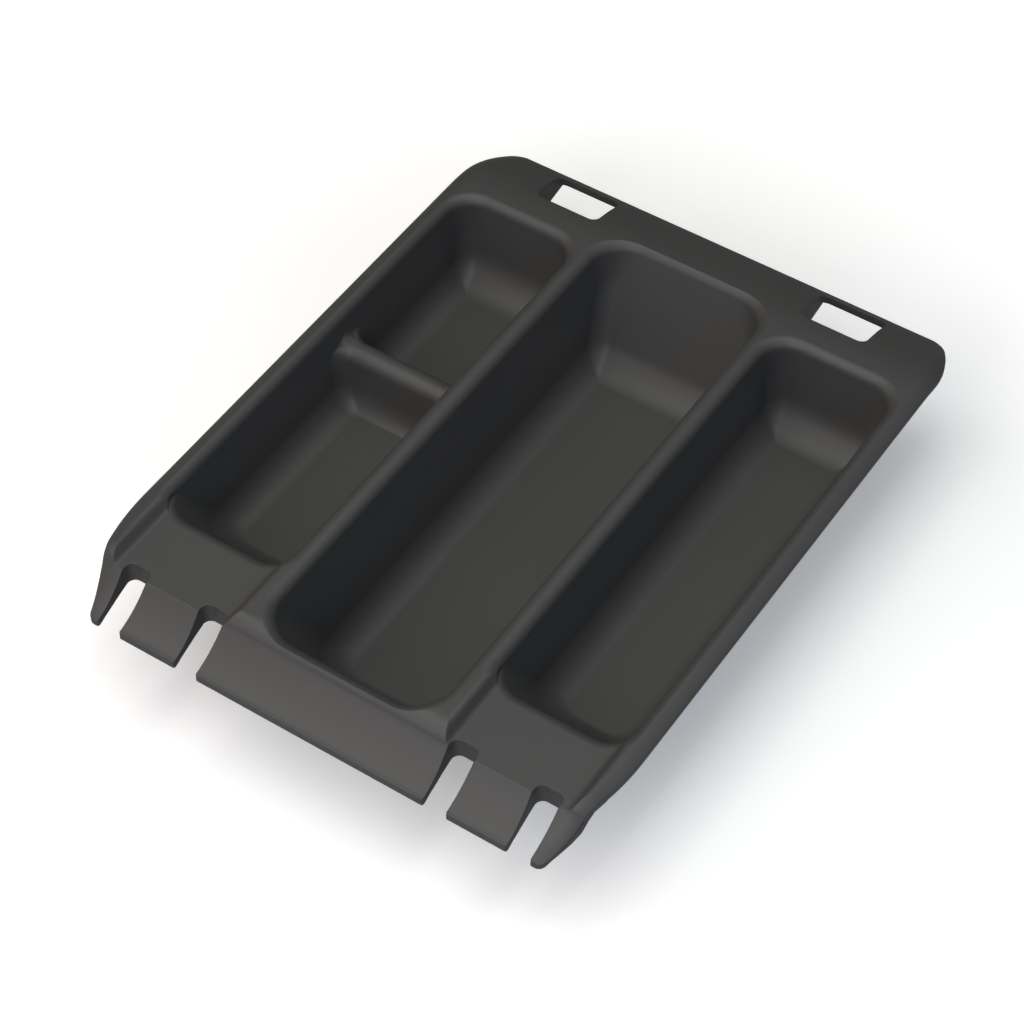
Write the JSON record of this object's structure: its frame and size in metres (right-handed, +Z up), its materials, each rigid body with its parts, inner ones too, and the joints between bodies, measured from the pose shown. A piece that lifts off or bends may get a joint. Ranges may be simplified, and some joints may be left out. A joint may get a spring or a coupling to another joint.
{
  "type": "car console organizer tray",
  "caption": "Matte black drop-in organizer tray for a car's centre console, with long open pockets, a drooping rear flange with slots and a notched front skirt.",
  "frame": {"origin": "middle of the tray's overall length and width, on the plane under its bumper feet", "axes": "+X to the right and +Z up, with +Y from the notched front lip towards the drooping rear edge; the longest side lies along Y"},
  "size_m": [0.229, 0.301, 0.0617],
  "materials": {
    "tray_plastic": "matte",
    "bumper_rubber": "matte",
    "anti_rattle_foam": "matte"
  },
  "bodies": {
    "root": {"tray_moulding": "tray_plastic", "bumper_front_left": "bumper_rubber", "bumper_front_right": "bumper_rubber", "bumper_rear_left": "bumper_rubber", "bumper_rear_right": "bumper_rubber", "foam_strip_left": "anti_rattle_foam", "foam_strip_right": "anti_rattle_foam", "foam_pad_rear": "anti_rattle_foam"}
  },
  "joints": []
}
